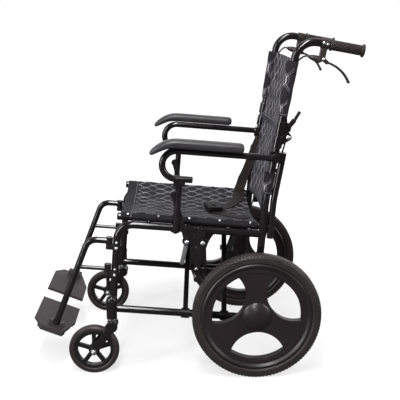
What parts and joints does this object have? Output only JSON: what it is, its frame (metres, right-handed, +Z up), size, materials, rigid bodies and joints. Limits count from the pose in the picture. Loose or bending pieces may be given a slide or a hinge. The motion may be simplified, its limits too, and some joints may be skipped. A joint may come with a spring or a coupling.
{
  "type": "folding transit wheelchair",
  "caption": "Attendant-pushed folding wheelchair with sling seat and back, flip-up armrests, swing-away footrests, hand brakes and three-spoke rear wheels.",
  "frame": {"origin": "on the floor, under the middle of the overall box", "axes": "+Z up, the chair faces -Y, +X is the sitter's left"},
  "size_m": [0.644, 0.9638, 0.9875],
  "materials": {
    "frame_paint": "gloss black paint",
    "bright_steel": "bright plated steel",
    "brace_steel": "grey paint",
    "wheel_plastic": "charcoal moulded nylon",
    "tyre_rubber": "black rubber",
    "black_plastic": "satin black plastic",
    "plate_plastic": "grained dark grey plastic",
    "pad_foam": "skinned foam",
    "grip_rubber": "ribbed black rubber",
    "sling_cloth": "woven cloth with pale wavy lines",
    "belt_webbing": "woven webbing",
    "cable_casing": "black casing"
  },
  "bodies": {
    "left_frame": {"left_side_frame": "frame_paint", "left_rear_axle": "bright_steel", "left_armrest_mounts": "frame_paint", "left_hanger_brackets": "black_plastic", "left_brake_bracket": "frame_paint", "left_back_hinge": "frame_paint", "left_cable_lower": "cable_casing", "back_sling_lower": "sling_cloth"},
    "left_back": {"left_back_tube": "frame_paint", "left_grip": "grip_rubber", "left_brake_perch": "black_plastic", "left_cable_upper": "cable_casing", "back_sling_upper": "sling_cloth"},
    "left_hand_brake": {"left_brake_lever": "black_plastic"},
    "left_back_release": {"left_release_lever": "black_plastic"},
    "left_armrest": {"left_armrest_tube": "frame_paint", "left_armrest_pad": "pad_foam"},
    "left_wheel": {"left_rear_wheel": "wheel_plastic", "left_rear_tyre": "tyre_rubber"},
    "left_caster": {"left_caster_fork": "frame_paint", "left_caster_axle": "bright_steel"},
    "left_caster_wheel_body": {"left_caster_wheel": "black_plastic", "left_caster_tyre": "tyre_rubber"},
    "left_footrest": {"left_footrest_hanger": "frame_paint"},
    "left_plate": {"left_footplate": "plate_plastic"},
    "left_park_lever": {"left_parking_lever": "black_plastic"},
    "left_shoe_arm": {"left_brake_shoe": "frame_paint"},
    "right_frame": {"right_side_frame": "frame_paint", "right_rear_axle": "bright_steel", "right_armrest_mounts": "frame_paint", "right_hanger_brackets": "black_plastic", "right_brake_bracket": "frame_paint", "right_back_hinge": "frame_paint", "right_cable_lower": "cable_casing", "lap_belt": "belt_webbing"},
    "right_back": {"right_back_tube": "frame_paint", "right_grip": "grip_rubber", "right_brake_perch": "black_plastic", "right_cable_upper": "cable_casing"},
    "right_hand_brake": {"right_brake_lever": "black_plastic"},
    "right_back_release": {"right_release_lever": "black_plastic"},
    "right_armrest": {"right_armrest_tube": "frame_paint", "right_armrest_pad": "pad_foam"},
    "right_wheel": {"right_rear_wheel": "wheel_plastic", "right_rear_tyre": "tyre_rubber"},
    "right_caster": {"right_caster_fork": "frame_paint", "right_caster_axle": "bright_steel"},
    "right_caster_wheel_body": {"right_caster_wheel": "black_plastic", "right_caster_tyre": "tyre_rubber"},
    "right_footrest": {"right_footrest_hanger": "frame_paint"},
    "right_plate": {"right_footplate": "plate_plastic"},
    "right_park_lever": {"right_parking_lever": "black_plastic"},
    "right_shoe_arm": {"right_brake_shoe": "frame_paint"},
    "brace_a": {"cross_brace_a": "frame_paint", "right_seat_rail": "frame_paint", "brace_bolts": "bright_steel", "right_seat_sling": "sling_cloth"},
    "brace_b": {"cross_brace_b": "brace_steel", "left_seat_rail": "frame_paint", "left_seat_sling": "sling_cloth"}
  },
  "joints": [
    {"name": "fold", "type": "hinge", "parent": "left_frame", "child": "brace_a", "pos_m": [0.23, 0.04029, 0.16958], "axis": [0, 0.9966, -0.0819], "range_deg": [0, 38], "deforming": ["left_seat_sling", "right_seat_sling", "back_sling_upper", "back_sling_lower", "lap_belt"]},
    {"name": "brace_cross", "type": "hinge", "parent": "brace_a", "child": "brace_b", "pos_m": [0, 0.05217, 0.31412], "axis": [0, 0.9966, -0.0819], "range_deg": [-76, 0]},
    {"name": "right_side_fold", "type": "hinge", "parent": "brace_b", "child": "right_frame", "pos_m": [-0.23, 0.04029, 0.16958], "axis": [0, 0.9966, -0.0819], "range_deg": [0, 38]},
    {"name": "left_back_fold", "type": "hinge", "parent": "left_frame", "child": "left_back", "pos_m": [0.23, 0.26933, 0.70879], "axis": [-1, 0, 0], "range_deg": [0, 90]},
    {"name": "left_hand_brake_squeeze", "type": "hinge", "parent": "left_back", "child": "left_hand_brake", "pos_m": [0.23, 0.36292, 0.92961], "axis": [1, 0, 0], "range_deg": [0, 24], "stiffness_Nm_per_rad": 1.5},
    {"name": "left_release_press", "type": "hinge", "parent": "left_back", "child": "left_back_release", "pos_m": [0.23, 0.27407, 0.74045], "axis": [1, 0, 0], "range_deg": [0, 14], "stiffness_Nm_per_rad": 0.6},
    {"name": "left_armrest_flip", "type": "hinge", "parent": "left_frame", "child": "left_armrest", "pos_m": [0.262, 0.23325, 0.65233], "axis": [-1, 0, 0], "range_deg": [0, 90]},
    {"name": "left_wheel_roll", "type": "hinge", "parent": "left_frame", "child": "left_wheel", "pos_m": [0.295, 0.18244, 0.19], "axis": [1, 0, 0], "continuous": true},
    {"name": "left_caster_swivel", "type": "hinge", "parent": "left_frame", "child": "left_caster", "pos_m": [0.257, -0.24476, 0.2], "axis": [0, 0, -1], "continuous": true},
    {"name": "left_caster_roll", "type": "hinge", "parent": "left_caster", "child": "left_caster_wheel_body", "pos_m": [0.257, -0.29976, 0.075], "axis": [1, 0, 0], "continuous": true},
    {"name": "left_footrest_swing", "type": "hinge", "parent": "left_frame", "child": "left_footrest", "pos_m": [0.23, -0.25333, 0.34623], "axis": [0, -0.0819, -0.9966], "range_deg": [-90, 0]},
    {"name": "left_plate_flip", "type": "hinge", "parent": "left_footrest", "child": "left_plate", "pos_m": [0.23, -0.41153, 0.1528], "axis": [0, 0.9298, -0.3681], "range_deg": [0, 90]},
    {"name": "left_park_lever_pull", "type": "hinge", "parent": "left_frame", "child": "left_park_lever", "pos_m": [0.2461, -0.02172, 0.40395], "axis": [-1, 0, 0], "range_deg": [0, 40]},
    {"name": "left_shoe_press", "type": "hinge", "parent": "left_frame", "child": "left_shoe_arm", "pos_m": [0.2461, 0.02512, 0.4001], "axis": [-1, 0, 0], "range_deg": [-9.3, 0]},
    {"name": "right_back_fold", "type": "hinge", "parent": "right_frame", "child": "right_back", "pos_m": [-0.23, 0.26933, 0.70879], "axis": [-1, 0, 0], "range_deg": [0, 90]},
    {"name": "right_hand_brake_squeeze", "type": "hinge", "parent": "right_back", "child": "right_hand_brake", "pos_m": [-0.23, 0.36292, 0.92961], "axis": [1, 0, 0], "range_deg": [0, 24], "stiffness_Nm_per_rad": 1.5},
    {"name": "right_release_press", "type": "hinge", "parent": "right_back", "child": "right_back_release", "pos_m": [-0.23, 0.27407, 0.74045], "axis": [1, 0, 0], "range_deg": [0, 14], "stiffness_Nm_per_rad": 0.6},
    {"name": "right_armrest_flip", "type": "hinge", "parent": "right_frame", "child": "right_armrest", "pos_m": [-0.262, 0.23325, 0.65233], "axis": [-1, 0, 0], "range_deg": [0, 90]},
    {"name": "right_wheel_roll", "type": "hinge", "parent": "right_frame", "child": "right_wheel", "pos_m": [-0.295, 0.18244, 0.19], "axis": [1, 0, 0], "continuous": true},
    {"name": "right_caster_swivel", "type": "hinge", "parent": "right_frame", "child": "right_caster", "pos_m": [-0.257, -0.24476, 0.2], "axis": [0, 0, 1], "continuous": true},
    {"name": "right_caster_roll", "type": "hinge", "parent": "right_caster", "child": "right_caster_wheel_body", "pos_m": [-0.257, -0.29976, 0.075], "axis": [1, 0, 0], "continuous": true},
    {"name": "right_footrest_swing", "type": "hinge", "parent": "right_frame", "child": "right_footrest", "pos_m": [-0.23, -0.25333, 0.34623], "axis": [0, 0.0819, 0.9966], "range_deg": [-90, 0]},
    {"name": "right_plate_flip", "type": "hinge", "parent": "right_footrest", "child": "right_plate", "pos_m": [-0.23, -0.41153, 0.1528], "axis": [0, -0.9298, 0.3681], "range_deg": [0, 90]},
    {"name": "right_park_lever_pull", "type": "hinge", "parent": "right_frame", "child": "right_park_lever", "pos_m": [-0.2461, -0.02172, 0.40395], "axis": [-1, 0, 0], "range_deg": [0, 40]},
    {"name": "right_shoe_press", "type": "hinge", "parent": "right_frame", "child": "right_shoe_arm", "pos_m": [-0.2461, 0.02512, 0.4001], "axis": [-1, 0, 0], "range_deg": [-9.3, 0]}
  ],
  "couplings": [
    {"joint": "brace_cross", "follows": "fold", "ratio": -2},
    {"joint": "right_side_fold", "follows": "fold", "ratio": 1},
    {"joint": "left_shoe_press", "follows": "left_park_lever_pull", "ratio": -0.2325},
    {"joint": "left_plate_flip", "follows": "fold", "ratio": 2.3684},
    {"joint": "right_shoe_press", "follows": "right_park_lever_pull", "ratio": -0.2325},
    {"joint": "right_plate_flip", "follows": "fold", "ratio": 2.3684},
    {"joint": "right_back_fold", "follows": "left_back_fold", "ratio": 1}
  ]
}
